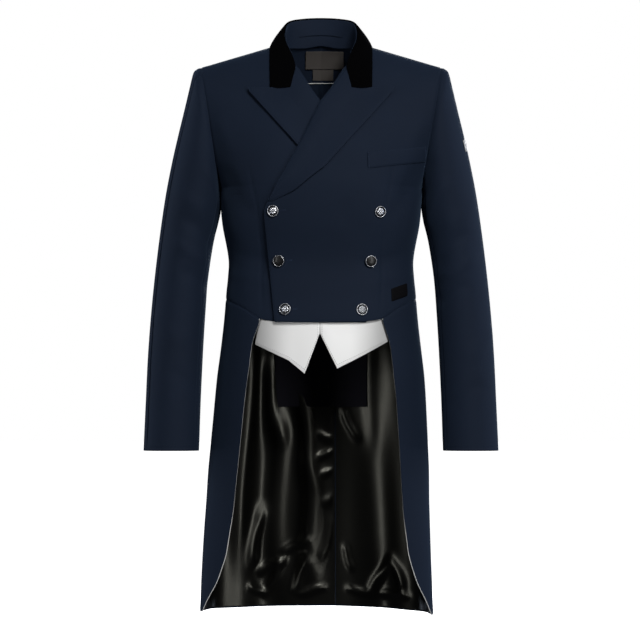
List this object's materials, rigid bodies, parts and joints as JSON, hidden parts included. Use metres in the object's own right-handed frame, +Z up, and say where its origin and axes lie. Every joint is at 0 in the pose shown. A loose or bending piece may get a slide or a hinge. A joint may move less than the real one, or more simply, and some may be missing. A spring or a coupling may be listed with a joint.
{
  "type": "riding tailcoat",
  "caption": "Navy double-breasted riding tailcoat, worn form held empty, with velvet collar, peak lapels, white waistcoat points and satin-lined tails.",
  "frame": {"origin": "base of the neck, level with the inner ends of the shoulder seams, where the wearer's shoulders hold the coat", "axes": "+Z up, the front faces -Y, +X towards the wearer's left"},
  "size_m": [0.6026, 0.262, 1.0155],
  "materials": {
    "navy_wool": "worsted twill",
    "black_velvet": "cut pile",
    "black_satin": "glossy satin weave",
    "black_lining": "matt plain weave",
    "white_satin": "satin weave",
    "white_piping": "corded piping",
    "silver_metal": "cast and polished",
    "black_enamel": "glossy enamel",
    "label_weave": "woven label",
    "black_tab": "bare tab"
  },
  "bodies": {
    "root": {"front_left": "navy_wool", "front_right": "navy_wool", "back_left": "navy_wool", "back_right": "navy_wool", "tail_left": "navy_wool", "tail_right": "navy_wool", "sleeve_left": "navy_wool", "sleeve_right": "navy_wool", "lapel_left": "navy_wool", "lapel_right": "navy_wool", "collar_stand": "navy_wool", "pocket_welt": "navy_wool", "hanger_loop": "navy_wool", "collar_fall": "black_velvet", "tail_lining_left": "black_satin", "tail_lining_right": "black_satin", "waist_lining": "black_lining", "waistcoat_point_left": "white_satin", "waistcoat_point_right": "white_satin", "sleeve_badge": "white_satin", "piping_left": "white_piping", "piping_right": "white_piping", "facing_piping": "white_piping", "button_1": "silver_metal", "button_2": "silver_metal", "button_3": "silver_metal", "button_4": "silver_metal", "button_5": "silver_metal", "button_6": "silver_metal", "button_3_enamel": "black_enamel", "button_4_enamel": "black_enamel", "neck_label": "label_weave", "size_label": "label_weave", "waist_patch": "black_tab"}
  },
  "joints": []
}
